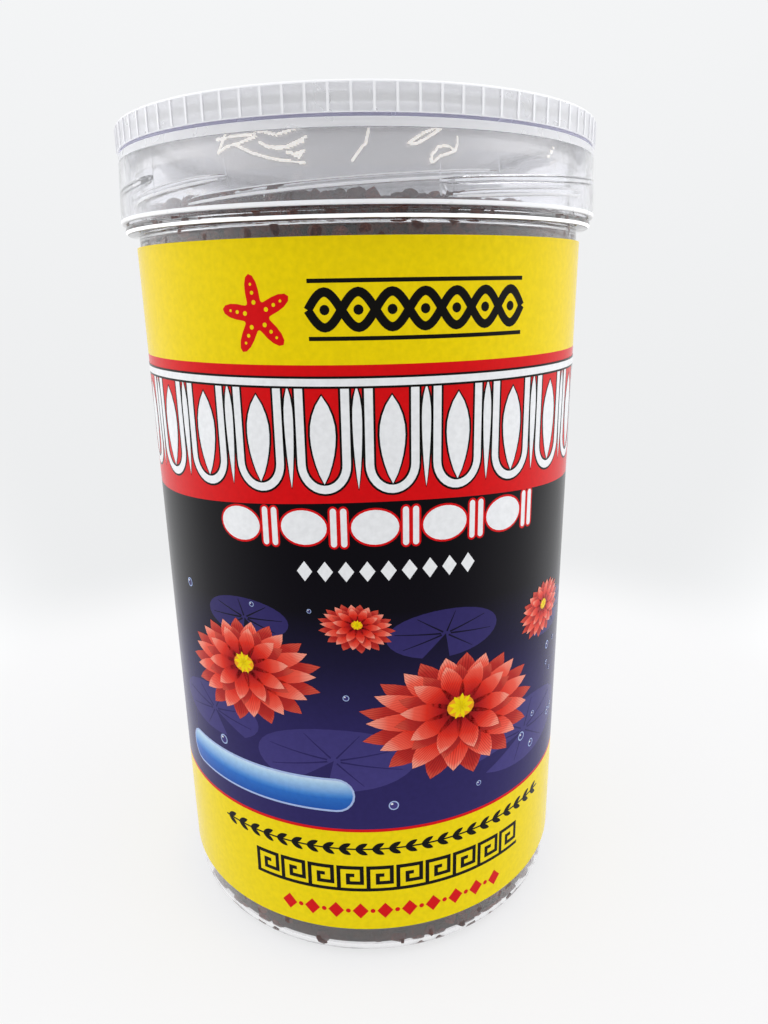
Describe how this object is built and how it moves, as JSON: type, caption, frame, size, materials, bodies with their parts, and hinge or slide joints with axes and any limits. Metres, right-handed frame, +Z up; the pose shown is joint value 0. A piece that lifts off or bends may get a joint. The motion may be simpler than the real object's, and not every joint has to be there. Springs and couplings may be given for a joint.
{
  "type": "screw-lid jar of fish food",
  "caption": "Clear plastic jar filled with food pellets, with a wrap-round label, a clear seal film over the mouth and a translucent screw lid that unscrews.",
  "frame": {"origin": "centre of the foot ring, on the surface that the jar stands on", "axes": "+Z up along the jar's axis; -Y towards the middle of the label's front; +X to the right as seen from the front"},
  "size_m": [0.0992, 0.0992, 0.1712],
  "materials": {
    "clear_plastic": "clear, smooth and glossy, blow-moulded",
    "label_film": null,
    "pellets": null,
    "seal_film": "clear, crinkled, glossy",
    "liner_foam": "thin translucent white foam",
    "lid_plastic": "milky translucent, smooth, injection-moulded"
  },
  "bodies": {
    "jar": {"jar": "clear_plastic", "label": "label_film", "pellets": "pellets", "seal_film": "seal_film"},
    "liner": {"liner": "liner_foam"},
    "lid": {"lid": "lid_plastic"}
  },
  "joints": [
    {"name": "lid_rise", "type": "slide", "parent": "jar", "child": "liner", "axis": [0, 0, 1], "range_m": [0, 0.018]},
    {"name": "lid_turn", "type": "hinge", "parent": "liner", "child": "lid", "pos_m": [0, 0, 0.16], "axis": [0, 0, 1], "range_deg": [0, 360]}
  ],
  "couplings": [
    {"joint": "lid_rise", "follows": "lid_turn", "m_per_rad": 0.0028647}
  ]
}
